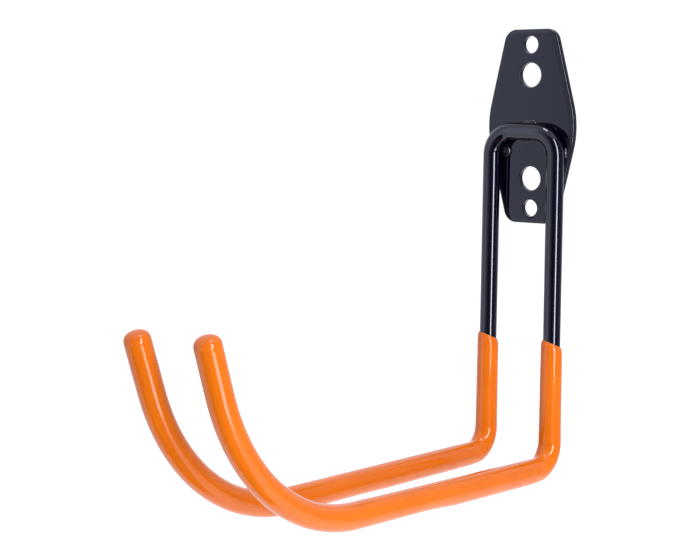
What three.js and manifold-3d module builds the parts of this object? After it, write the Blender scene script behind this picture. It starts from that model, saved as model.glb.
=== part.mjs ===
// Bicycle wall rack: a bent steel rod on a flat wall plate, with dip-coated arms.
//
// Frame: millimetres, +Z up, +Y into the wall. The origin is the centre of the
// plate's back face, and the two arms reach out towards -Y.

import * as THREE from 'three';
import { mergeVertices } from 'three/addons/utils/BufferGeometryUtils.js';
import Module from 'manifold-3d';

const wasm = await Module();
wasm.setup();

// ---- Driving dimensions, in millimetres and degrees ----

const CLEARANCE = 0.3; // between two neighbouring solids

const PLATE = {
  height: 91,
  middleWidth: 49.5, // at the corners that the middle radius rounds off
  endWidth: 26.6,
  thickness: 3.2, // with its paint
  middleRadius: 44,
  endRadius: 6.4,
  edgeRound: 0.5,
};

const OUTER_HOLE = { diameter: 8, offset: 38.3 };
const INNER_HOLE = { diameter: 11.4, offset: 24.25 };

const ROD = {
  diameter: 8.2, // with its paint
  legSpacing: 35.5,
  crossbarZ: -2,
  crossbarBendRadius: 11.5,
  drop: 156.5, // crossbar centreline down to the lowest point of the leg bends' centreline
  legBendRadius: 12.8,
  armRise: 4.2, // slope of the arms above the horizontal
  armLength: 136.4,
  tipBendRadius: 87.5,
  tipBendAngle: 68.3,
  tipLength: 21,
};

const COATING = {
  diameter: 10.9,
  startBelowCrossbar: 99, // middle of the coating's slanted upper edge
  edgeFallToWall: 21, // slopes of that edge, which is lower at the wall
  edgeFallToRight: 13.5,
  endCap: 2.5, // coating past the end of the rod
  noseRadius: 7, // radius of the domed end
};

// Weld beads: full width and length on the plate, height off it, and the distance of
// their middle from the rod's centreline. The outer ones are narrow, because the plate
// ends close to the legs.
const CROSSBAR_BEAD = { width: 4.4, length: 8, height: 2.2, offset: 3.6 };
const INNER_BEAD = { width: 6.4, length: 6.5, height: 2.2, offset: 5.2 };
const OUTER_BEAD = { width: 2.6, length: 5, height: 2.2, offset: 2.2 };
const LEG_BEAD_BELOW_CROSSBAR = 9.5;

// ---- Faceting ----

const TUBE_SIDES = 20;
const BEND_STEP = 10; // degrees of bend between two rings
const ARC_POINTS = 4;
const HOLE_POINTS = 36;
const BEAD_SIDES = 16;

// ---- Materials ----

const blackPaint = new THREE.MeshStandardMaterial({
  name: 'black_paint', color: 0x17181b, roughness: 0.22, metalness: 0.1,
});
const plateCoat = new THREE.MeshStandardMaterial({
  name: 'plate_paint', color: 0x1d1e22, roughness: 0.28, metalness: 0.1,
});
const orangeVinyl = new THREE.MeshStandardMaterial({
  name: 'orange_vinyl', color: 0xe8691c, roughness: 0.35, metalness: 0,
});

// ---- Derived places ----

const plateFrontY = -PLATE.thickness;
const rodRadius = ROD.diameter / 2;
const rodY = plateFrontY - CLEARANCE - rodRadius;
const legX = ROD.legSpacing / 2;

// ---- Bent paths ----

/** A path through rings set by hand: straight runs need two rings, and bends get many. */
class RingPath extends THREE.Curve {
  constructor(rings) {
    super();
    this.rings = rings;
  }

  get steps() {
    return this.rings.length - 1;
  }

  getUtoTmapping(u) {
    return u;
  }

  nearestRing(t) {
    return this.rings[Math.round(t * this.steps)];
  }

  getPoint(t, target = new THREE.Vector3()) {
    return target.copy(this.nearestRing(t).point);
  }

  getTangent(t, target = new THREE.Vector3()) {
    return target.copy(this.nearestRing(t).tangent);
  }
}

/** Walks straight runs and bends one after another, and keeps a ring at each change. */
class PathWalker {
  constructor(point, tangent) {
    this.rings = [{ point, tangent }];
  }

  get last() {
    return this.rings[this.rings.length - 1];
  }

  straight(length) {
    const { point, tangent } = this.last;
    this.rings.push({ point: point.clone().addScaledVector(tangent, length), tangent });
    return this;
  }

  /** Bends by an angle in degrees, around an axis, with the centreline at a radius. */
  bend(radius, angle, axis) {
    const start = this.last;
    const toCentre = axis.clone().cross(start.tangent).multiplyScalar(radius);
    const centre = start.point.clone().add(toCentre);
    const steps = Math.ceil(angle / BEND_STEP);
    for (let i = 1; i <= steps; i++) {
      const turn = THREE.MathUtils.degToRad((angle * i) / steps);
      const spoke = toCentre.clone().negate().applyAxisAngle(axis, turn);
      const tangent = start.tangent.clone().applyAxisAngle(axis, turn);
      this.rings.push({ point: centre.clone().add(spoke), tangent });
    }
    return this;
  }
}

/** The right half of the rod: crossbar centre, top bend, leg, leg bend, arm, upturned tip. */
function rightHalfRings() {
  const crossbarRun = legX - ROD.crossbarBendRadius;
  const legRun = ROD.drop - ROD.crossbarBendRadius - ROD.legBendRadius;
  const acrossWall = new THREE.Vector3(1, 0, 0);
  const downTheWall = new THREE.Vector3(0, 1, 0);
  const outFromWall = new THREE.Vector3(-1, 0, 0);
  const walker = new PathWalker(new THREE.Vector3(0, rodY, ROD.crossbarZ), acrossWall);
  walker
    .straight(crossbarRun)
    .bend(ROD.crossbarBendRadius, 90, downTheWall)
    .straight(legRun)
    .bend(ROD.legBendRadius, 90 + ROD.armRise, outFromWall)
    .straight(ROD.armLength)
    .bend(ROD.tipBendRadius, ROD.tipBendAngle, outFromWall)
    .straight(ROD.tipLength);
  return walker.rings;
}

/** The same rings on the other side of the middle plane, in the same order. */
function mirrored(rings) {
  const flip = new THREE.Vector3(-1, 1, 1);
  return rings.map(({ point, tangent }) => ({
    point: point.clone().multiply(flip),
    tangent: tangent.clone().multiply(flip),
  }));
}

/** The same rings walked the other way. */
function reversed(rings) {
  return rings.map(({ point, tangent }) => ({ point, tangent: tangent.clone().negate() })).reverse();
}

/** A round bar along a list of rings. */
function roundBar(rings, radius) {
  const path = new RingPath(rings);
  const section = new THREE.Shape().absarc(0, 0, radius, 0, 2 * Math.PI);
  return new THREE.ExtrudeGeometry(section, {
    steps: path.steps,
    curveSegments: TUBE_SIDES / 2, // a full circle gets twice this
    extrudePath: path,
  });
}

// ---- Cutting and joining ----

/** A closed three.js geometry as a solid. */
function toSolid(geometry) {
  const bare = geometry.clone();
  bare.deleteAttribute('normal');
  bare.deleteAttribute('uv');
  const welded = mergeVertices(bare, 1e-4);
  return new wasm.Manifold(new wasm.Mesh({
    numProp: 3,
    vertProperties: new Float32Array(welded.attributes.position.array),
    triVerts: new Uint32Array(welded.index.array),
  }));
}

/** A solid as a three.js geometry. */
function toGeometry(solid) {
  const mesh = solid.getMesh();
  const geometry = new THREE.BufferGeometry();
  geometry.setAttribute('position', new THREE.BufferAttribute(mesh.vertProperties, 3));
  geometry.setIndex(new THREE.BufferAttribute(mesh.triVerts, 1));
  geometry.computeVertexNormals();
  return geometry;
}

/** A geometry moved to a place, after an optional turn given as a quaternion. */
function placed(geometry, position, turn = new THREE.Quaternion()) {
  const scale = new THREE.Vector3(1, 1, 1);
  return geometry.clone().applyMatrix4(new THREE.Matrix4().compose(position, turn, scale));
}

// ---- Wall plate ----

/** Adds a rounded corner to an outline, between the last corner and the next one. */
function roundCorner(outline, before, corner, after, radius) {
  const toBefore = before.clone().sub(corner).normalize();
  const toAfter = after.clone().sub(corner).normalize();
  const halfAngle = Math.acos(toBefore.dot(toAfter)) / 2;
  const setback = radius / Math.tan(halfAngle);
  const middle = toBefore.clone().add(toAfter).normalize();
  const centre = corner.clone().addScaledVector(middle, radius / Math.sin(halfAngle));
  const start = corner.clone().addScaledVector(toBefore, setback).sub(centre);
  const end = corner.clone().addScaledVector(toAfter, setback).sub(centre);
  outline.absarc(centre.x, centre.y, radius, start.angle(), end.angle(), false);
}

/** Six-sided outline, widest at mid-height, drawn anticlockwise from the upper right. */
function plateOutline() {
  const end = PLATE.endWidth / 2;
  const side = PLATE.middleWidth / 2;
  const half = PLATE.height / 2;
  const corners = [
    { at: new THREE.Vector2(end, half), radius: PLATE.endRadius },
    { at: new THREE.Vector2(-end, half), radius: PLATE.endRadius },
    { at: new THREE.Vector2(-side, 0), radius: PLATE.middleRadius },
    { at: new THREE.Vector2(-end, -half), radius: PLATE.endRadius },
    { at: new THREE.Vector2(end, -half), radius: PLATE.endRadius },
    { at: new THREE.Vector2(side, 0), radius: PLATE.middleRadius },
  ];
  const outline = new THREE.Shape();
  corners.forEach((corner, i) => {
    const before = corners[(i + corners.length - 1) % corners.length];
    const after = corners[(i + 1) % corners.length];
    roundCorner(outline, before.at, corner.at, after.at, corner.radius);
  });
  outline.closePath();
  return outline;
}

function plateHole({ diameter }, height) {
  const points = [];
  for (let i = 0; i < HOLE_POINTS; i++) {
    const turn = (-2 * Math.PI * i) / HOLE_POINTS;
    points.push(new THREE.Vector2(Math.cos(turn), Math.sin(turn)).multiplyScalar(diameter / 2));
  }
  const lift = new THREE.Vector2(0, height);
  return new THREE.Path(points.map((point) => point.add(lift)));
}

function wallPlate() {
  const outline = plateOutline();
  for (const hole of [OUTER_HOLE, INNER_HOLE]) {
    outline.holes.push(plateHole(hole, hole.offset), plateHole(hole, -hole.offset));
  }
  const geometry = new THREE.ExtrudeGeometry(outline, {
    depth: PLATE.thickness - 2 * PLATE.edgeRound,
    curveSegments: ARC_POINTS,
    bevelThickness: PLATE.edgeRound,
    bevelSize: PLATE.edgeRound,
    bevelOffset: -PLATE.edgeRound,
    bevelSegments: 1,
  });
  // The outline is drawn in X and Y, so it is stood up, with its depth running out from the wall.
  geometry.rotateX(Math.PI / 2);
  geometry.translate(0, -PLATE.edgeRound, 0);
  const mesh = new THREE.Mesh(geometry, plateCoat);
  mesh.name = 'wall_plate';
  return mesh;
}

// ---- Hook rod ----

const rightHalf = rightHalfRings();
const leftHalf = mirrored(rightHalf);
const wholeRod = [...reversed(leftHalf).slice(0, -1), ...rightHalf];
const rodKeepOut = toSolid(roundBar(wholeRod, rodRadius + CLEARANCE));

function hookRod() {
  const mesh = new THREE.Mesh(roundBar(wholeRod, rodRadius), blackPaint);
  mesh.name = 'hook_rod';
  return mesh;
}

// ---- Arm coatings ----

/** A block with a domed hollow, which trims the end of a bar to a round nose. */
function noseTrimmer(radius) {
  const dome = COATING.noseRadius;
  const reach = Math.asin((radius + CLEARANCE) / dome);
  const profile = [];
  for (let i = 0; i <= ARC_POINTS; i++) {
    const turn = (reach * i) / ARC_POINTS;
    profile.push(new THREE.Vector2(dome * Math.sin(turn), dome * Math.cos(turn) - dome));
  }
  profile.push(new THREE.Vector2(2 * radius, profile[ARC_POINTS].y));
  profile.push(new THREE.Vector2(2 * radius, radius));
  profile.push(new THREE.Vector2(0, radius));
  return new THREE.LatheGeometry(profile, TUBE_SIDES);
}

/** Vinyl shell round the lower leg, the leg bend, the arm and the tip, closed over the tip. */
function armCoating(name, half) {
  const outerRadius = COATING.diameter / 2;
  const legRings = half.slice(half.findIndex(({ tangent }) => tangent.z < -0.999));
  const legTop = legRings[0].point;
  const start = new THREE.Vector3(legTop.x, rodY, ROD.crossbarZ - COATING.startBelowCrossbar);
  const margin = COATING.diameter;
  const bore = [{ ...legRings[0], point: start.clone().setZ(start.z + 2 * margin) }];
  const skin = [{ ...legRings[0], point: start.clone().setZ(start.z + margin) }];
  const route = legRings.slice(1);
  const tip = route[route.length - 1];
  const nose = tip.point.clone().addScaledVector(tip.tangent, CLEARANCE + COATING.endCap);
  const seat = tip.point.clone().addScaledVector(tip.tangent, CLEARANCE);
  skin.push(...route.slice(0, -1), { ...tip, point: nose });
  bore.push(...route.slice(0, -1), { ...tip, point: seat });

  const edgeNormal = new THREE.Vector3(
    Math.tan(THREE.MathUtils.degToRad(COATING.edgeFallToRight)),
    Math.tan(THREE.MathUtils.degToRad(COATING.edgeFallToWall)),
    1,
  ).normalize();
  const slant = new THREE.Quaternion().setFromUnitVectors(new THREE.Vector3(0, 0, 1), edgeNormal);
  const blockSize = 4 * margin;
  const above = new THREE.BoxGeometry(blockSize, blockSize, blockSize).translate(0, 0, blockSize / 2);
  const alongTip = new THREE.Quaternion().setFromUnitVectors(new THREE.Vector3(0, 1, 0), tip.tangent);

  const shell = toSolid(roundBar(skin, outerRadius))
    .subtract(toSolid(placed(noseTrimmer(outerRadius), nose, alongTip)))
    .subtract(toSolid(roundBar(bore, rodRadius + CLEARANCE)))
    .subtract(toSolid(placed(above, start, slant)));
  const mesh = new THREE.Mesh(toGeometry(shell), orangeVinyl);
  mesh.name = name;
  return mesh;
}

// ---- Weld beads ----

/** A low dome on the plate, trimmed clear of the rod that it holds. */
function weldBead(name, { width, length, height }, x, z, alongX) {
  const dome = new THREE.SphereGeometry(1, BEAD_SIDES, BEAD_SIDES / 2);
  dome.rotateX(Math.PI / 2);
  dome.scale((alongX ? length : width) / 2, height, (alongX ? width : length) / 2);
  const foot = new THREE.Vector3(x, plateFrontY - CLEARANCE, z);
  const wallSide = new THREE.BoxGeometry(2 * length, 2 * length, 2 * length);
  const bead = toSolid(placed(dome, foot))
    .subtract(toSolid(placed(wallSide, foot.clone().add(new THREE.Vector3(0, length, 0)))))
    .subtract(rodKeepOut);
  const mesh = new THREE.Mesh(toGeometry(bead), blackPaint);
  mesh.name = name;
  return mesh;
}

function weldBeads() {
  const legZ = ROD.crossbarZ - LEG_BEAD_BELOW_CROSSBAR;
  const crossbarTop = ROD.crossbarZ + CROSSBAR_BEAD.offset;
  const beads = [weldBead('weld_crossbar', CROSSBAR_BEAD, 0, crossbarTop, true)];
  for (const [side, sign] of [['left', -1], ['right', 1]]) {
    const innerX = sign * (legX - INNER_BEAD.offset);
    const outerX = sign * (legX + OUTER_BEAD.offset);
    beads.push(weldBead(`weld_${side}_inner`, INNER_BEAD, innerX, legZ, false));
    beads.push(weldBead(`weld_${side}_outer`, OUTER_BEAD, outerX, legZ, false));
  }
  return beads;
}

// ---- Assembly ----

const rack = new THREE.Group();
rack.add(
  wallPlate(),
  hookRod(),
  armCoating('left_arm_coating', leftHalf),
  armCoating('right_arm_coating', rightHalf),
  ...weldBeads(),
);

export default rack;
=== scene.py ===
"""Bicycle wall rack: smooth surfaces, paint, dipped vinyl and a white studio, round the CAD."""

import math
from collections import namedtuple

import bmesh
import bpy
from mathutils import Matrix, Vector, noise


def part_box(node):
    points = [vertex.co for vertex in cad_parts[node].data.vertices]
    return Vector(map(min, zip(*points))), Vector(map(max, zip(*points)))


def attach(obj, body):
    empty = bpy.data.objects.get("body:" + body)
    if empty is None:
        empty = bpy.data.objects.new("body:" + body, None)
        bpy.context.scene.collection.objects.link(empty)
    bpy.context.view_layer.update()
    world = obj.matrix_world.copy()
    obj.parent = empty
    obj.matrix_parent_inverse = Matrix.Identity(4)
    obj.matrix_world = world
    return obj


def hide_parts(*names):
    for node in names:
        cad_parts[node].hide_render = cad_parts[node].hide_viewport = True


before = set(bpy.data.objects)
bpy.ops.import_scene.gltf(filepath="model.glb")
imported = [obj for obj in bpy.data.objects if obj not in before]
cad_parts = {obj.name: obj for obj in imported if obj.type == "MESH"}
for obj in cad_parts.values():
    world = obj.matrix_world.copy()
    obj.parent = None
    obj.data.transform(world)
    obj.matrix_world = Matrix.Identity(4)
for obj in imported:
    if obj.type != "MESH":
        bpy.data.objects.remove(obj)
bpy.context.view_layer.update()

MM = 0.001

# ---- Sizes that the frame gives ----

plate_low, plate_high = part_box("wall_plate")
_, rod_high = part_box("hook_rod")

# ---- Sizes of the bent rod: lengths in metres, radii of the centreline, angles in degrees ----

ROD_RADIUS = 4.1 * MM
ROD_END_EDGE = 0.6 * MM  # rounding of the bar's cut end
CROSSBAR_BEND = 11.5 * MM
LEG_BEND = 11.3 * MM
DROP = 156.5 * MM  # from the crossbar down to the lowest point of the leg bend
ARM_RISE = 4.2  # above level
ARM_LENGTH = 138 * MM
TIP_BEND = 87.5 * MM
TIP_BEND_ANGLE = 68.3
TIP_LENGTH = 21 * MM
TIGHT_BEND = 3 * LEG_BEND  # a bend up to this radius presses the bar a little oval
BEND_SQUEEZE = 0.02  # share of the radius

# The two halves are bent a little differently. Each row gives what its half adds to the sizes
# above, in millimetres, or degrees for the rise. The spread is how far its top, its leg bend
# and its tip stand outwards, in millimetres.
HALVES = {
    -1: {"drop": -1.0, "rise": -0.6, "bend": -1.5, "tip": 1.0, "spread": (-0.1, 0.25, 0.1)},
    1: {"drop": 1.1, "rise": 0.6, "bend": 2, "tip": -1.5, "spread": (-0.65, 0.15, 0.1)},
}

CROSSBAR_Z = rod_high.z - ROD_RADIUS
ROD_Y = rod_high.y - ROD_RADIUS
LEG_X = rod_high.x - ROD_RADIUS

# ---- How closely the rod and its coating are drawn ----

ROD_SIDES = 64
ROD_END_STEPS = 4
COAT_SIDES = 72
LIP_STEPS = 8
NOSE_STEPS = 16
STRAIGHT_STEP = 6 * MM  # between rings on a straight run
COAT_STEP = 1.6 * MM  # the same, on the uneven outside of the coating
BEND_STEP = 3  # degrees between rings in a bend
LEAST_STEP = 0.05 * MM  # a ring closer than this to the last one is left out

# ---- Sizes of the plate ----

PLATE_HALF_HEIGHT = plate_high.z
PLATE_FRONT = plate_low.y
PLATE_HALF_MIDDLE = 24.75 * MM  # at the sharp corner that the middle rounding replaces
PLATE_HALF_END = 13.3 * MM
PLATE_MIDDLE_RADIUS = 44 * MM
PLATE_END_RADIUS = 6.4 * MM
PLATE_TURN = -1.1  # degrees; the plate is welded on a little askew, with its top to the left
PLATE_SHIFT = 0.35 * MM  # and a little to the right
FRONT_EDGE_RADIUS = 1.1 * MM
BACK_EDGE_RADIUS = 0.4 * MM
HOLE_EDGE_RADIUS = 0.4 * MM
ROLL_WIDTH = 1.9 * MM  # band inside the edge where the stamped face falls away
ROLL_SLOPE = 8  # degrees, at the outer side of that band
HOLE_ROLL_WIDTH = 0.6 * MM
HOLE_ROLL_SLOPE = 4
HOLES = [  # height and radius
    (38.3 * MM, 4 * MM),
    (24.25 * MM, 5.7 * MM),
    (-24.25 * MM, 5.7 * MM),
    (-38.3 * MM, 4 * MM),
]
HOLE_SIDES = 72
EDGE_STEPS = 8  # in each part of an edge's profile
ARC_STEP = 4  # degrees between points on the outline's corners
LEAST_ARC_STEPS = 8
BACK_EDGE_SHEEN = 0.6  # painted sheen on the back edge, where the front edge has 1

# ---- Sizes of the dipped coating ----

COAT_RADII = [  # distance along the rod from the coating's edge, and radius
    (0, 5.1 * MM),  # the edge
    (26 * MM, 5.2 * MM),  # low on the leg
    (60 * MM, 5.45 * MM),  # in the leg bend
    (175 * MM, 5.5 * MM),  # far along the arm
    (205 * MM, 5.6 * MM),  # where the tip bend starts
    (245 * MM, 5.3 * MM),  # in the tip bend
    (285 * MM, 5.2 * MM),  # high in the tip bend, and from there to the end
]
COAT_START = 99 * MM  # below the crossbar, at the middle of the slanted edge
EDGE_FALL_TO_WALL = 21  # degrees
EDGE_FALL_TO_RIGHT = 13.5
EDGE_FADE = 14 * MM  # below the edge, where the rings are square to the rod again
OUTSIDE_FADE_POWER = 1.5
SAG = {-1: 0.3 * MM, 1: 0.95 * MM}  # drained vinyl under each arm
SAG_REACH = (55 * MM, 75 * MM, 130 * MM, 160 * MM)  # from the edge: starts, is full, fades, ends
SWELL = 0.045 * MM  # the coating's slow unevenness
SWELL_LENGTH = 11 * MM
RIPPLE = 0.012 * MM  # and its fine one
RIPPLE_LENGTH = 3.5 * MM
LIP_LENGTH = 3.4 * MM
LIP_FADE = 1.5 * MM  # below the lip, where its wear ends
LIP_WEAR = 0.5  # at the lip's full thickness, where its edge has 1
NOSE_PAST_ROD = 3 * MM
NOSE_LENGTH = 4.4 * MM
NOSE_POWER = 2 / 2.7  # 1 is an ellipse, and less is blunter
NOSE_WEAR = 0.3
BOND_GAP = 0.02 * MM
BORE = ROD_RADIUS + BOND_GAP
BORE_PAST_ROD = 0.1 * MM
COATINGS = (("left", -1, 3.7), ("right", 1, 8.2))  # side, hand and seed of its unevenness

# ---- Sizes of the weld beads ----

WELDS = {  # height, as a share of the CAD bead's
    "crossbar": 0.55,
    "left_inner": 0.9,
    "left_outer": 1,
    "right_inner": 0.9,
    "right_outer": 1,
}
WELD_SEED_STEP = 1.3
WELD_SUNK = 0.3 * MM
WELD_COLUMNS = 40
WELD_ROWS = 24
WELD_LUMP = 0.04  # share of the bead's size
WELD_LUMP_LENGTH = 1.6 * MM
WELD_RIPPLE = 0.01
WELD_RIPPLE_LENGTH = 0.55 * MM
WELD_RIPPLE_BOW = 3


# ---- Helpers ----

def in_scene(name, data):
    """A new object in the scene."""
    thing = bpy.data.objects.new(name, data)
    bpy.context.scene.collection.objects.link(thing)
    return thing


def piece(name, mesh, material, slot, *nodes):
    """Makes a mesh into a piece of the object that stands for CAD nodes."""
    thing = in_scene(name, mesh)
    mesh.materials.append(material)
    for polygon in mesh.polygons:
        polygon.use_smooth = True
    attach(thing, "root")
    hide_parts(*nodes)
    return thing


def finished_mesh(name, shell):
    mesh = bpy.data.meshes.new(name)
    shell.to_mesh(mesh)
    shell.free()
    return mesh


def bridge(shell, near, far, closed=True):
    """Faces between two loops of as many vertices."""
    count = len(near)
    for i in range(count if closed else count - 1):
        j = (i + 1) % count
        shell.faces.new((near[i], near[j], far[j], far[i]))


def skin(name, rings):
    """A closed tube through rings of equal length, with a pole at each end."""
    shell = bmesh.new()
    loops = [[shell.verts.new(point) for point in ring] for ring in rings]
    for near, far in zip(loops, loops[1:]):
        bridge(shell, near, far)
    for loop, outward in ((loops[0], False), (loops[-1], True)):
        pole = shell.verts.new(sum((v.co for v in loop), Vector()) / len(loop))
        for i in range(len(loop)):
            j = (i + 1) % len(loop)
            corners = (loop[i], loop[j], pole)
            shell.faces.new(corners if outward else corners[::-1])
    bmesh.ops.recalc_face_normals(shell, faces=shell.faces)
    return finished_mesh(name, shell)


def mark_edges(mesh, weights):
    """Stores a weight from 0 to 1 on each vertex for the materials: painted sheen on the plate's
    edges, wear on the coating's lip and nose.
    """
    layer = mesh.attributes.new("edge", "FLOAT", "POINT")
    layer.data.foreach_set("value", weights)


def smooth_step(low, high, value):
    """Goes softly from 0 at the low value to 1 at the high one."""
    share = min(1, max(0, (value - low) / (high - low)))
    return share * share * (3 - 2 * share)


# ---- The rod's centreline ----

Run = namedtuple("Run", "start length point tangent side axis radius")


def after_turn(run, angle):
    """Point, tangent and side direction after an angle of a bend."""
    turn = Matrix.Rotation(angle, 3, run.axis)
    centre = run.point + run.axis.cross(run.tangent) * run.radius
    return centre + turn @ (run.point - centre), turn @ run.tangent, turn @ run.side


class Route:
    """A centreline of straight runs and bends, read by the distance along it."""

    def __init__(self, point, tangent, side):
        self.runs = []
        self.length = 0
        self.end = (point, tangent, side)

    def straight(self, length):
        point, tangent, side = self.end
        self.runs.append(Run(self.length, length, point, tangent, side, None, 0))
        self.end = (point + tangent * length, tangent, side)
        self.length += length

    def bend(self, radius, degrees, axis):
        angle = math.radians(degrees)
        run = Run(self.length, radius * angle, *self.end, axis, radius)
        self.runs.append(run)
        self.end = after_turn(run, angle)
        self.length += run.length

    def at(self, distance):
        """Point, tangent and side direction at a distance. Past the end it goes straight on."""
        run = next((r for r in reversed(self.runs) if distance >= r.start), self.runs[0])
        along = distance - run.start
        if run.axis is None:
            return run.point + run.tangent * along, run.tangent, run.side
        return after_turn(run, along / run.radius)

    def squeeze(self, distance):
        """How far a tight bend has pressed the round bar oval here, and the bend's axis."""
        for run in self.runs:
            if run.axis is None or run.radius > TIGHT_BEND:
                continue
            middle = run.start + run.length / 2
            reach = abs(distance - middle) / (run.length / 2 + ROD_RADIUS)
            if reach < 1:
                return math.cos(reach * math.pi / 2) ** 2, run.axis
        return 0, None

    def stations(self, start, stop, straight_step):
        """Distances from start to stop, close together in the bends."""
        marks = [start]
        for run in self.runs:
            step = straight_step
            if run.axis is not None:
                step = min(straight_step, run.radius * math.radians(BEND_STEP))
            count = max(1, math.ceil(run.length / step))
            marks += [run.start + run.length * i / count for i in range(count + 1)]
        marks.append(stop)
        inside = sorted(m for m in marks if start <= m <= stop)
        kept = [inside[0]]
        for mark in inside[1:]:
            if mark - kept[-1] > LEAST_STEP:
                kept.append(mark)
        kept[-1] = stop
        return kept


def half_route(half):
    """Crossbar middle, top bend, leg, leg bend, arm, upturned tip, all on the right."""
    outward = Vector((-1, 0, 0))
    rise = ARM_RISE + half["rise"]
    route = Route(Vector((0, ROD_Y, CROSSBAR_Z)), Vector((1, 0, 0)), Vector((0, 1, 0)))
    route.straight(LEG_X - CROSSBAR_BEND)
    route.bend(CROSSBAR_BEND, 90, Vector((0, 1, 0)))
    route.straight(DROP + half["drop"] * MM - CROSSBAR_BEND - LEG_BEND)
    route.bend(LEG_BEND, 90 + rise, outward)
    route.straight(ARM_LENGTH)
    route.bend(TIP_BEND + half["bend"] * MM, TIP_BEND_ANGLE, outward)
    route.straight(TIP_LENGTH + half["tip"] * MM)
    return route


ROUTES = {hand: half_route(half) for hand, half in HALVES.items()}
LEG_START = ROUTES[1].runs[2].start
LEG_END = ROUTES[1].runs[3].start  # the left leg is a little shorter, which the spread ignores


def spread(hand, distance):
    """How far this place on the rod stands outwards of its even position."""
    top, bottom, tip = HALVES[hand]["spread"]
    if distance < LEG_START:
        return top * MM * (distance / LEG_START) ** 2
    if distance < LEG_END:
        return (top + (bottom - top) * (distance - LEG_START) / (LEG_END - LEG_START)) * MM
    far = min(1, (distance - LEG_END) / (ROUTES[hand].length - LEG_END))
    return (bottom + (tip - bottom) * far) * MM


def ring(hand, distance, radius_at, sides, lift_at=None):
    """Points round the centreline; hand -1 mirrors them to the left."""
    route = ROUTES[hand]
    point, tangent, side = route.at(distance)
    point = point + Vector((spread(hand, distance), 0, 0))
    across = tangent.cross(side)
    pressed, axis = route.squeeze(distance)
    points = []
    for i in range(sides):
        angle = 2 * math.pi * i / sides
        spoke = side * math.cos(angle) + across * math.sin(angle)
        oval = 1
        if axis is not None:
            oval += BEND_SQUEEZE * pressed * (2 * spoke.dot(axis) ** 2 - 1)
        radius = radius_at(distance, angle) * oval
        place = point + spoke * radius
        if lift_at is not None:
            place += tangent * lift_at(spoke, radius)
        points.append(Vector((hand * place.x, place.y, place.z)))
    return points


# ---- Hook rod ----

def rod_half(hand):
    """Rings from the crossbar's middle to the small rounded edge and flat end of the bar."""
    route = ROUTES[hand]
    rings = []
    for distance in route.stations(0, route.length - ROD_END_EDGE, STRAIGHT_STEP):
        rings.append(ring(hand, distance, lambda d, a: ROD_RADIUS, ROD_SIDES))
    for step in range(1, ROD_END_STEPS + 1):
        angle = math.pi / 2 * step / ROD_END_STEPS
        radius = ROD_RADIUS - ROD_END_EDGE * (1 - math.cos(angle))
        along = route.length - ROD_END_EDGE * (1 - math.sin(angle))
        rings.append(ring(hand, along, lambda d, a: radius, ROD_SIDES))
    return rings


def rod_mesh():
    left = rod_half(-1)[1:]  # the right half has the ring at the middle
    return skin("hook_rod_skin", left[::-1] + rod_half(1))


# ---- Arm coatings ----

def coat_radius(along):
    """The coating's radius at a distance from its edge. It is thicker where it drained."""
    for (before, first), (after, second) in zip(COAT_RADII, COAT_RADII[1:]):
        if along < after:
            return first + (second - first) * smooth_step(before, after, along)
    return COAT_RADII[-1][1]


def sag_share(along):
    """How much of the drained vinyl hangs under the arm here."""
    starts, full, fades, ends = SAG_REACH
    return smooth_step(starts, full, along) - smooth_step(fades, ends, along)


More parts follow.
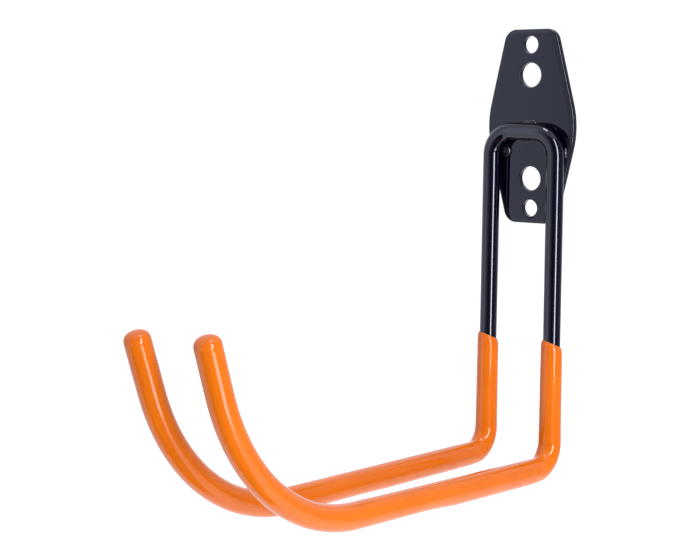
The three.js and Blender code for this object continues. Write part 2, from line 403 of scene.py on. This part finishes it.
class Coating:
    """Vinyl on one arm. Each stretch of it is a list of rings, each with its wear."""

    def __init__(self, hand, seed):
        self.hand = hand
        self.seed = seed
        self.route = ROUTES[hand]
        self.top = COAT_START - CROSSBAR_BEND + LEG_START
        self.shoulder = self.route.length + NOSE_PAST_ROD - NOSE_LENGTH

    def radius_at(self, distance, angle):
        """The uneven outside, with drained vinyl under the arm."""
        place = Vector((math.cos(angle) * 0.5, math.sin(angle) * 0.5, distance / SWELL_LENGTH))
        swell = noise.noise(place + Vector((self.seed, 0, 0)))
        place_fine = Vector((math.cos(angle), math.sin(angle), distance / RIPPLE_LENGTH))
        ripple = noise.noise(place_fine + Vector((0, self.seed, 0)))
        along = distance - self.top
        under = max(0, math.cos(angle)) ** 2 * SAG[self.hand] * sag_share(along)
        return coat_radius(along) + SWELL * swell + RIPPLE * ripple + under

    def ring(self, distance, radius_at, slant=0):
        """A ring of the coating. A slant of 1 is that of the coating's edge."""
        fall_wall = math.tan(math.radians(EDGE_FALL_TO_WALL))
        fall_right = math.tan(math.radians(EDGE_FALL_TO_RIGHT)) * self.hand

        def lift_at(spoke, radius):
            # The leg's tangent points down, so a fall towards the wall is a positive lift.
            return slant * radius * (fall_wall * spoke.y + fall_right * spoke.x)

        return ring(self.hand, distance, radius_at, COAT_SIDES, lift_at)

    def slant(self, distance):
        return max(0, 1 - (distance - self.top) / EDGE_FADE)

    def inside(self):
        """From the rod's end back up to the lip."""
        stations = self.route.stations(self.top, self.route.length + BORE_PAST_ROD, STRAIGHT_STEP)
        stretch = []
        for distance in stations[::-1]:
            points = self.ring(distance, lambda d, a: BORE, self.slant(distance))
            stretch.append((points, 1 if distance == self.top else 0))
        return stretch

    def lip(self):
        """The slanted, rounded lip, from the rod's surface out to the full thickness."""
        stretch = []
        for step in range(1, LIP_STEPS + 1):
            angle = math.pi / 2 * step / LIP_STEPS
            out = math.sin(angle)
            along = self.top + LIP_LENGTH * (1 - math.cos(angle))
            points = self.ring(
                along,
                lambda d, a: BORE + (self.radius_at(d, a) - BORE) * out,
                self.slant(along),
            )
            stretch.append((points, 1 - (1 - LIP_WEAR) * step / LIP_STEPS))
        return stretch

    def outside(self):
        """Down the leg and along the arm."""
        lip_end = self.top + LIP_LENGTH
        stretch = []
        for distance in self.route.stations(lip_end, self.shoulder, COAT_STEP)[1:]:
            slant = self.slant(distance) ** OUTSIDE_FADE_POWER
            points = self.ring(distance, self.radius_at, slant)
            stretch.append((points, LIP_WEAR * max(0, 1 - (distance - lip_end) / LIP_FADE)))
        return stretch

    def nose(self):
        """A blunt rounded end, past the rod's own."""
        stretch = []
        for step in range(1, NOSE_STEPS + 1):
            angle = math.pi / 2 * step / (NOSE_STEPS + 0.5)
            width = math.cos(angle) ** NOSE_POWER
            points = self.ring(
                self.shoulder + NOSE_LENGTH * math.sin(angle) ** NOSE_POWER,
                lambda d, a: self.radius_at(self.shoulder, a) * width,
            )
            stretch.append((points, NOSE_WEAR * math.sin(2 * angle)))
        return stretch

    def mesh(self, name):
        stretch = self.inside() + self.lip() + self.outside() + self.nose()
        mesh = skin(name, [points for points, _ in stretch])
        wear_and_sheen = [rubbed_and_sheen for _, rubbed_and_sheen in stretch]
        poles = [wear_and_sheen[0], wear_and_sheen[-1]]
        mark_edges(mesh, [rubbed_and_sheen for rubbed_and_sheen in wear_and_sheen for _ in range(COAT_SIDES)] + poles)
        return mesh


# ---- Wall plate ----

def rounded_hexagon(inset):
    """The plate's outline pulled in by an inset, as a list of X and Z, anticlockwise."""
    end = PLATE_HALF_END
    side = PLATE_HALF_MIDDLE
    half = PLATE_HALF_HEIGHT
    corners = [
        (Vector((end, half)), PLATE_END_RADIUS),
        (Vector((-end, half)), PLATE_END_RADIUS),
        (Vector((-side, 0)), PLATE_MIDDLE_RADIUS),
        (Vector((-end, -half)), PLATE_END_RADIUS),
        (Vector((end, -half)), PLATE_END_RADIUS),
        (Vector((side, 0)), PLATE_MIDDLE_RADIUS),
    ]
    points = []
    for i, (corner, radius) in enumerate(corners):
        to_before = (corners[i - 1][0] - corner).normalized()
        to_after = (corners[(i + 1) % len(corners)][0] - corner).normalized()
        half_angle = to_before.angle(to_after) / 2
        centre = corner + (to_before + to_after).normalized() * radius / math.sin(half_angle)
        setback = radius / math.tan(half_angle)
        start = corner + to_before * setback - centre
        sweep = math.pi - 2 * half_angle
        count = max(LEAST_ARC_STEPS, math.ceil(math.degrees(sweep) / ARC_STEP))
        first = math.atan2(start.y, start.x)
        for k in range(count + 1):
            angle = first + sweep * k / count
            spoke = Vector((math.cos(angle), math.sin(angle)))
            points.append(centre + spoke * (radius - inset))
    return points


def round_hole(height, radius, inset):
    """A hole's edge, drawn clockwise, opened out by an inset."""
    points = []
    for k in range(HOLE_SIDES):
        angle = -2 * math.pi * k / HOLE_SIDES
        spoke = Vector((math.cos(angle), math.sin(angle)))
        points.append(Vector((0, height)) + spoke * (radius + inset))
    return points


def edge_profile(radius, roll_width, roll_slope):
    """Inset, Y and painted sheen over the plate's edge, from the front face round to the back face.

    The face falls away over the roll's width, up to its slope, and a tight arc follows.
    """
    slope = math.radians(roll_slope)
    fall = roll_width * math.tan(slope) / 2
    arc_inset = radius * (1 - math.sin(slope))
    profile = []
    for k in range(EDGE_STEPS):
        share = k / EDGE_STEPS
        inset = arc_inset + roll_width * (1 - share)
        profile.append((inset, PLATE_FRONT + fall * share * share, share ** 2))
    for k in range(EDGE_STEPS + 1):
        angle = slope + (math.pi / 2 - slope) * k / EDGE_STEPS
        inset = radius * (1 - math.sin(angle))
        y = PLATE_FRONT + fall + radius * (math.cos(slope) - math.cos(angle))
        profile.append((inset, y, 1 - k / EDGE_STEPS))
    for k in range(EDGE_STEPS + 1):
        angle = math.pi / 2 * k / EDGE_STEPS
        inset = BACK_EDGE_RADIUS * (1 - math.cos(angle))
        y = -BACK_EDGE_RADIUS * (1 - math.sin(angle))
        profile.append((inset, y, BACK_EDGE_SHEEN * k / EDGE_STEPS))
    return profile


def plate_outlines():
    """The outline and the four holes, each with the profile of its edge."""
    hole_edge = edge_profile(HOLE_EDGE_RADIUS, HOLE_ROLL_WIDTH, HOLE_ROLL_SLOPE)
    outlines = [(rounded_hexagon, edge_profile(FRONT_EDGE_RADIUS, ROLL_WIDTH, ROLL_SLOPE))]
    for height, radius in HOLES:
        outlines.append((lambda inset, h=height, r=radius: round_hole(h, r, inset), hole_edge))
    return outlines


def rim(shell, loop):
    """The edges round a loop."""
    return [shell.edges.get(pair) for pair in zip(loop, loop[1:] + loop[:1])]


def plate_mesh():
    shell = bmesh.new()
    front_edges = []
    back_edges = []
    # Weights of a painted sheen: lighter paint along the rim and the holes' edges.
    wear_and_sheen = []
    for outline, profile in plate_outlines():
        loops = []
        for inset, y, rubbed_and_sheen in profile:
            loops.append([shell.verts.new((p.x, y, p.y)) for p in outline(inset)])
            wear_and_sheen += [rubbed_and_sheen] * len(loops[-1])
        for near, far in zip(loops, loops[1:]):
            bridge(shell, near, far)
        front_edges += rim(shell, loops[0])
        back_edges += rim(shell, loops[-1])
    bmesh.ops.triangle_fill(shell, edges=front_edges, use_beauty=True)
    bmesh.ops.triangle_fill(shell, edges=back_edges, use_beauty=True)
    bmesh.ops.recalc_face_normals(shell, faces=shell.faces)
    askew = Matrix.Rotation(math.radians(PLATE_TURN), 4, "Y")
    askew.translation.x = PLATE_SHIFT
    shell.transform(askew)
    mesh = finished_mesh("wall_plate_skin", shell)
    mark_edges(mesh, wear_and_sheen)
    return mesh


# ---- Weld beads ----

def bead_mesh(name, node, seed, flatness):
    """A lump of weld with ripples, sunk a little into the plate."""
    low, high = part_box(node)
    middle = (low + high) / 2
    foot = Vector((middle.x, PLATE_FRONT, middle.z))
    half = (high - low) / 2
    height = (PLATE_FRONT - low.y) * flatness
    rings = []
    for row in range(1, WELD_ROWS):
        polar = math.pi * row / WELD_ROWS
        loop = []
        for column in range(WELD_COLUMNS):
            angle = 2 * math.pi * column / WELD_COLUMNS
            x = math.sin(polar) * math.cos(angle)
            z = math.sin(polar) * math.sin(angle)
            y = math.cos(polar)
            place = foot + Vector((half.x * x, 0, half.z * z))
            lump = noise.noise(place / WELD_LUMP_LENGTH + Vector((seed, seed, 0)))
            wave = math.sin((place.z + place.x) / WELD_RIPPLE_LENGTH + WELD_RIPPLE_BOW * x * x)
            swell = 1 + WELD_LUMP * lump + WELD_RIPPLE * wave * math.sin(polar)
            depth = height * y * swell if y > 0 else WELD_SUNK * y
            loop.append(foot + Vector((half.x * x * swell, -depth, half.z * z * swell)))
        rings.append(loop)
    return skin(name, rings)


# ---- Materials ----

# Scales of noise, where 1000 is one cell a millimetre.
WEAR_SCALE = 900
PAINT_CLOUD_SCALE = 60
PAINT_GLOSS_SCALE = 90
PAINT_RIPPLE_SCALE = 55
PAINT_GRAIN_SCALE = 620
VINYL_HUE_SCALE = 38
VINYL_GLOSS_SCALE = 160
VINYL_RIPPLE_SCALE = 110
VINYL_GRAIN_SCALE = 900

SKIN_IOR = 1.5  # of paint and vinyl
PAINT_DARK = (0.0003, 0.0003, 0.0036)
PAINT_LIGHT = (0.0007, 0.0007, 0.005)
# A painted sheen: the lighter colour, and its roughness, on the plate's marked edges.
PAINT_EDGE_SHEEN = (0.016, 0.017, 0.022)
PAINT_EDGE_ROUGHNESS = 0.14
PAINT_SPECULAR_TINT = (0.84, 0.87, 1, 1)
VINYL_DARK = (0.51, 0.104, 0.003)
VINYL_MIDDLE = (0.535, 0.112, 0.003)
VINYL_LIGHT = (0.565, 0.122, 0.004)
VINYL_RUBBED = (0.5, 0.085, 0.006)
VINYL_RUBBED_ROUGHNESS = 0.3
VINYL_WEAR = 0.5  # where the paint has 1
VINYL_SPECULAR = 0.36
VINYL_GLOW = 0.08  # share of the light that goes under the surface
VINYL_GLOW_RADIUS = (1.2 * MM, 0.5 * MM, 0.15 * MM)


def material_nodes(name):
    made = bpy.data.materials.new(name)
    made.use_nodes = True
    tree = made.node_tree
    return made, tree, tree.nodes["Principled BSDF"]


def noise_field(tree, scale, **settings):
    """A factor from noise in the object's own space."""
    place = tree.nodes.get("Place") or tree.nodes.new("ShaderNodeTexCoord")
    place.name = "Place"
    node = tree.nodes.new("ShaderNodeTexNoise")
    tree.links.new(place.outputs["Object"], node.inputs["Vector"])
    node.inputs["Scale"].default_value = scale
    for key, value in settings.items():
        node.inputs[key].default_value = value
    return node.outputs["Fac"]


def ramp(tree, source, stops):
    """Colours or greys along a factor. stops are (position, colour) pairs."""
    node = tree.nodes.new("ShaderNodeValToRGB")
    tree.links.new(source, node.inputs["Fac"])
    elements = node.color_ramp.elements
    while len(elements) < len(stops):
        elements.new(0.5)
    for element, (position, colour) in zip(elements, stops):
        element.position = position
        element.color = (*colour, 1)
    return node.outputs["Color"]


def grey(value):
    return (value, value, value)


def bumps(tree, shader, layers):
    """Stacks bump layers, each a height, a strength and a depth in metres."""
    previous = None
    for height, strength, depth in layers:
        node = tree.nodes.new("ShaderNodeBump")
        tree.links.new(height, node.inputs["Height"])
        node.inputs["Strength"].default_value = strength
        node.inputs["Distance"].default_value = depth
        if previous is not None:
            tree.links.new(previous, node.inputs["Normal"])
        previous = node.outputs["Normal"]
    tree.links.new(previous, shader.inputs["Normal"])


def edge_wear_and_sheen(tree, strength):
    """A factor that is highest on the marked edges, broken up by a fine noise."""
    marked = tree.nodes.new("ShaderNodeAttribute")
    marked.attribute_name = "edge"
    grain = noise_field(tree, WEAR_SCALE, Detail=4, Roughness=0.7)
    rubbed_and_sheen = ramp(tree, grain, [(0.35, grey(0.7 * strength)), (0.65, grey(strength))])
    factor = tree.nodes.new("ShaderNodeMath")
    factor.operation = "MULTIPLY"
    tree.links.new(marked.outputs["Fac"], factor.inputs[0])
    tree.links.new(rubbed_and_sheen, factor.inputs[1])
    return factor.outputs["Value"]


def wear_and_sheen_mix(tree, wear_and_sheen, fresh, rubbed_and_sheen):
    """Goes from a fresh colour or grey to the edge one as the weight grows; on the paint that is a
    painted sheen, on the vinyl it is wear.
    """
    node = tree.nodes.new("ShaderNodeMixRGB")
    tree.links.new(wear_and_sheen, node.inputs["Fac"])
    tree.links.new(fresh, node.inputs["Color1"])
    node.inputs["Color2"].default_value = (*rubbed_and_sheen, 1)
    return node.outputs["Color"]


def gloss_paint(name, specular, smooth, rough, peel):
    """Black stoving paint: a faint cloud in its colour, patches of gloss, an orange-peel ripple."""
    made, tree, shader = material_nodes(name)
    wear_and_sheen = edge_wear_and_sheen(tree, 1)
    clouds = noise_field(tree, PAINT_CLOUD_SCALE, Detail=4)
    colour = ramp(tree, clouds, [(0.35, PAINT_DARK), (0.68, PAINT_LIGHT)])
    # The marked edges get a lighter colour: a painted sheen along the plate's rim and the holes'
    # edges.
    tree.links.new(wear_and_sheen_mix(tree, wear_and_sheen, colour, PAINT_EDGE_SHEEN), shader.inputs["Base Color"])
    patches = noise_field(tree, PAINT_GLOSS_SCALE, Detail=3)
    gloss = ramp(tree, patches, [(0.3, grey(smooth)), (0.75, grey(rough))])
    edge_gloss = wear_and_sheen_mix(tree, wear_and_sheen, gloss, grey(PAINT_EDGE_ROUGHNESS))
    tree.links.new(edge_gloss, shader.inputs["Roughness"])
    bumps(tree, shader, [
        (noise_field(tree, PAINT_RIPPLE_SCALE, Detail=1), 0.35 * peel, 0.4 * MM),
        (noise_field(tree, PAINT_GRAIN_SCALE, Detail=2), 0.08 * peel, 0.05 * MM),
    ])
    shader.inputs["IOR"].default_value = SKIN_IOR
    shader.inputs["Specular IOR Level"].default_value = specular
    shader.inputs["Specular Tint"].default_value = PAINT_SPECULAR_TINT
    return made


def dipped_vinyl():
    """Soft orange vinyl: slight shifts of hue, a satin gloss and the lazy ripple of a dip."""
    made, tree, shader = material_nodes("orange_vinyl")
    wear_and_sheen = edge_wear_and_sheen(tree, VINYL_WEAR)
    drift = noise_field(tree, VINYL_HUE_SCALE, Detail=3)
    hues = [(0.3, VINYL_DARK), (0.5, VINYL_MIDDLE), (0.72, VINYL_LIGHT)]
    colour = ramp(tree, drift, hues)
    tree.links.new(wear_and_sheen_mix(tree, wear_and_sheen, colour, VINYL_RUBBED), shader.inputs["Base Color"])
    patches = noise_field(tree, VINYL_GLOSS_SCALE, Detail=4)
    gloss = ramp(tree, patches, [(0.3, grey(0.07)), (0.72, grey(0.12))])
    edge_gloss = wear_and_sheen_mix(tree, wear_and_sheen, gloss, grey(VINYL_RUBBED_ROUGHNESS))
    tree.links.new(edge_gloss, shader.inputs["Roughness"])
    bumps(tree, shader, [
        (noise_field(tree, VINYL_RIPPLE_SCALE, Detail=1), 0.15, 0.12 * MM),
        (noise_field(tree, VINYL_GRAIN_SCALE, Detail=2), 0.05, 0.02 * MM),
    ])
    shader.inputs["IOR"].default_value = SKIN_IOR
    shader.inputs["Specular IOR Level"].default_value = VINYL_SPECULAR
    shader.inputs["Subsurface Weight"].default_value = VINYL_GLOW
    shader.inputs["Subsurface Radius"].default_value = VINYL_GLOW_RADIUS
    shader.inputs["Subsurface Scale"].default_value = 1
    return made


# ---- The rack ----

def build_rack():
    plate_paint = gloss_paint("plate_paint", specular=0.36, smooth=0.05, rough=0.09, peel=0.5)
    rod_paint = gloss_paint("rod_paint", specular=0.6, smooth=0.06, rough=0.1, peel=0.1)
    weld_paint = gloss_paint("weld_paint", specular=0.7, smooth=0.24, rough=0.36, peel=0.5)
    vinyl = dipped_vinyl()
    plate = piece("plate_painted", plate_mesh(), plate_paint, "plate_paint", "wall_plate")
    shading = plate.modifiers.new("even shading", "WEIGHTED_NORMAL")
    shading.weight = 100
    shading.keep_sharp = False
    piece("rod_painted", rod_mesh(), rod_paint, "rod_paint", "hook_rod")
    for side, hand, seed in COATINGS:
        mesh = Coating(hand, seed).mesh(f"{side}_arm_skin")
        piece(f"{side}_arm_vinyl", mesh, vinyl, "orange_vinyl", f"{side}_arm_coating")
    for count, (place, flatness) in enumerate(WELDS.items()):
        node = f"weld_{place}"
        mesh = bead_mesh(f"bead_{place}_skin", node, WELD_SEED_STEP * count, flatness)
        piece(f"bead_{place}", mesh, weld_paint, "rod_paint", node)


# ---- Studio ----

CAMERA_PLACE = Vector((0.36674, -0.60552, 0.03222))
CAMERA_AZIMUTH = 38.18
CAMERA_DIP = 8.57
CAMERA_ROLL = 0.29
CAMERA_LENS = 76.15
CAMERA_NEAR = 0.01

# Brightness of the room round the rack: azimuth, where 0 is straight out from the wall and
# 90 is to its right, and radiance. The paint mirrors this, so it is what makes it look black.
ROOM = [
    (-90, 1.2), (-73, 1.25), (-53, 1.05), (-45, 1.3), (-40, 1.9), (-32, 1.9), (-24, 1.2),
    (-9, 0.65), (5, 0.28), (19, 0.06), (35, 0.12), (50, 0.45), (61, 0.7), (79, 0.3), (91, 0.2),
    (107, 0.25), (125, 0.3), (148, 0.5), (177, 1.0), (220, 1.25), (247, 1.2), (270, 1.1),
]
ROOM_PEAK = max(radiance for _, radiance in ROOM)
ROOM_TINT = (0.84, 0.88, 1.0)
ROOM_RADIUS = 1.6
ROOM_LOW = -0.745
ROOM_HIGH = 1.7
ROOM_SIDES = 72
WORLD_STRENGTH = 1.05

FLAG_REACH = (0.15, 1.45)
FLAG_LEFT = -25
FLAG_RIGHT = 62
FLAG_HEIGHT = -0.7
FLAG_STEPS = 12
FLAG_GREY = 0.01

FLOOR_SIZE = 8
FLOOR_HEIGHT = -0.75
FLOOR_GREY = 0.8
FLOOR_ROUGHNESS = 0.9
FLOOR_GLOW = 0.35


def place_camera():
    data = bpy.data.cameras.new("camera")
    data.lens = CAMERA_LENS
    data.clip_start = CAMERA_NEAR
    camera = in_scene("camera", data)
    azimuth = math.radians(CAMERA_AZIMUTH)
    dip = math.radians(CAMERA_DIP)
    ahead = Vector((
        -math.sin(azimuth) * math.cos(dip),
        math.cos(azimuth) * math.cos(dip),
        -math.sin(dip),
    ))
    level = Vector((math.cos(azimuth), math.sin(azimuth), 0))
    tilt = Matrix.Rotation(-math.radians(CAMERA_ROLL), 3, ahead)
    right = tilt @ level
    up = right.cross(ahead)
    axes = Matrix((right, up, -ahead)).transposed()
    camera.matrix_world = Matrix.Translation(CAMERA_PLACE) @ axes.to_4x4()
    bpy.context.scene.camera = camera


def round_about(azimuth, distance, height):
    """A place round the rack. Azimuth 0 is straight out from the wall, and 90 is to its right."""
    angle = math.radians(azimuth)
    return Vector((distance * math.sin(angle), -distance * math.cos(angle), height))


def softbox(name, azimuth, distance, low, high, width, radiance):
    """An upright strip of light that faces the rack."""
    data = bpy.data.lights.new(name, "AREA")
    data.shape = "RECTANGLE"
    data.size = width
    data.size_y = high - low
    data.energy = radiance * math.pi * width * (high - low)
    light = in_scene(name, data)
    place = round_about(azimuth, distance, (low + high) / 2)
    light.location = place
    facing = Vector((-place.x, -place.y, 0))
    light.rotation_euler = facing.to_track_quat("-Z", "Y").to_euler()
    light.visible_camera = False


def overhead(name, place, size, radiance):
    """A square lamp that looks straight down."""
    data = bpy.data.lights.new(name, "AREA")
    data.size = size
    data.energy = radiance * math.pi * size * size
    light = in_scene(name, data)
    light.location = place
    light.visible_camera = False


def room_light():
    """Light whose strength follows ROOM round the rack."""
    made = bpy.data.materials.new("room_light")
    made.use_nodes = True
    tree = made.node_tree
    tree.nodes.clear()
    place = tree.nodes.new("ShaderNodeTexCoord")
    turn = tree.nodes.new("ShaderNodeTexGradient")
    turn.gradient_type = "RADIAL"
    tree.links.new(place.outputs["Object"], turn.inputs["Vector"])
    strength = ramp(tree, turn.outputs["Fac"], [
        ((azimuth + 90) / 360, [radiance / ROOM_PEAK * part for part in ROOM_TINT])
        for azimuth, radiance in ROOM
    ])
    glow = tree.nodes.new("ShaderNodeEmission")
    tree.links.new(strength, glow.inputs["Color"])
    glow.inputs["Strength"].default_value = ROOM_PEAK
    end = tree.nodes.new("ShaderNodeOutputMaterial")
    tree.links.new(glow.outputs["Emission"], end.inputs["Surface"])
    return made


def panel_in_scene(name, panel, material):
    """A new object in the scene, from a bare mesh and its material."""
    mesh = finished_mesh(name, panel)
    mesh.materials.append(material)
    return in_scene(name, mesh)


def build_room():
    """A round wall of soft light. The camera doesn't see it."""
    panel = bmesh.new()
    turns = [360 * k / ROOM_SIDES for k in range(ROOM_SIDES)]
    low, high = [
        [panel.verts.new(round_about(turn, ROOM_RADIUS, height)) for turn in turns]
        for height in (ROOM_LOW, ROOM_HIGH)
    ]
    bridge(panel, low, high)
    room = panel_in_scene("room", panel, room_light())
    room.visible_camera = False


def hang_flag():
    """A black card low in front that only reflections see. It keeps the tips from looking milky."""
    black, _, shader = material_nodes("flag_black")
    shader.inputs["Base Color"].default_value = (*grey(FLAG_GREY), 1)
    shader.inputs["Roughness"].default_value = 1
    panel = bmesh.new()
    sweep = FLAG_RIGHT - FLAG_LEFT
    turns = [FLAG_LEFT + sweep * k / FLAG_STEPS for k in range(FLAG_STEPS + 1)]
    near, far = [
        [panel.verts.new(round_about(turn, reach, FLAG_HEIGHT)) for turn in turns]
        for reach in FLAG_REACH
    ]
    bridge(panel, near, far, closed=False)
    flag = panel_in_scene("flag", panel, black)
    flag.visible_camera = False
    flag.visible_diffuse = False
    flag.visible_shadow = False


def lay_floor():
    pale, _, shader = material_nodes("floor_white")
    shader.inputs["Base Color"].default_value = (*grey(FLOOR_GREY), 1)
    shader.inputs["Roughness"].default_value = FLOOR_ROUGHNESS
    shader.inputs["Emission Color"].default_value = (1, 1, 1, 1)
    shader.inputs["Emission Strength"].default_value = FLOOR_GLOW
    panel = bmesh.new()
    bmesh.ops.create_grid(panel, x_segments=1, y_segments=1, size=FLOOR_SIZE / 2)
    floor = panel_in_scene("floor", panel, pale)
    floor.location.z = FLOOR_HEIGHT


def light_world():
    world = bpy.data.worlds.new("white_room")
    world.use_nodes = True
    background = world.node_tree.nodes["Background"]
    background.inputs["Color"].default_value = (1, 1, 1, 1)
    background.inputs["Strength"].default_value = WORLD_STRENGTH
    bpy.context.scene.world = world
    bpy.context.scene.view_settings.view_transform = "Standard"


def build_studio():
    light_world()
    softbox("strip", azimuth=65, distance=1.2, low=-0.35, high=1.3, width=0.24, radiance=20)
    softbox("low_strip", azimuth=71, distance=1.0, low=-0.74, high=-0.44, width=0.42, radiance=8)
    overhead("top_lamp", Vector((0.1, -0.1, 1.3)), size=0.3, radiance=14)
    build_room()
    hang_flag()
    lay_floor()


build_rack()
place_camera()
build_studio()
